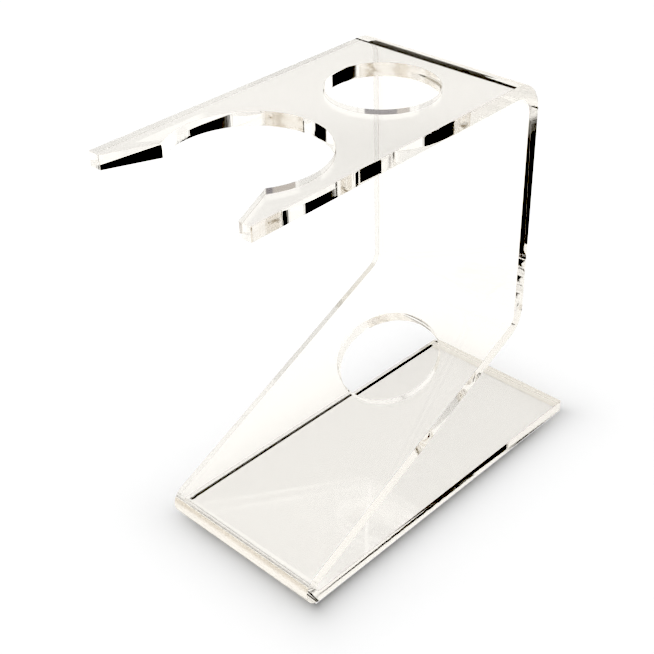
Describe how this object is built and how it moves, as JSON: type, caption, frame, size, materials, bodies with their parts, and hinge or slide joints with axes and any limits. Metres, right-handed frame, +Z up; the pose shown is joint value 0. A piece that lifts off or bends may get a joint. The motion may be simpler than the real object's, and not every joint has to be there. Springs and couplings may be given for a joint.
{
  "type": "brush and razor stand",
  "caption": "Clear acrylic stand bent from one strip: flat base, sloping plate with a round hole, upright back, and a top plate with a round hole and an open-fronted cradle.",
  "frame": {"origin": "on the ground, below the middle of the stand's length and width", "axes": "+Z up, -Y to the front, where the fold and the cradle's arms are, +X to the right seen from the front"},
  "size_m": [0.05, 0.1286, 0.1179],
  "materials": {
    "clear_acrylic": "clear, polished faces, laser-cut edges"
  },
  "bodies": {
    "root": {"bent_acrylic_strip": "clear_acrylic"}
  },
  "joints": []
}
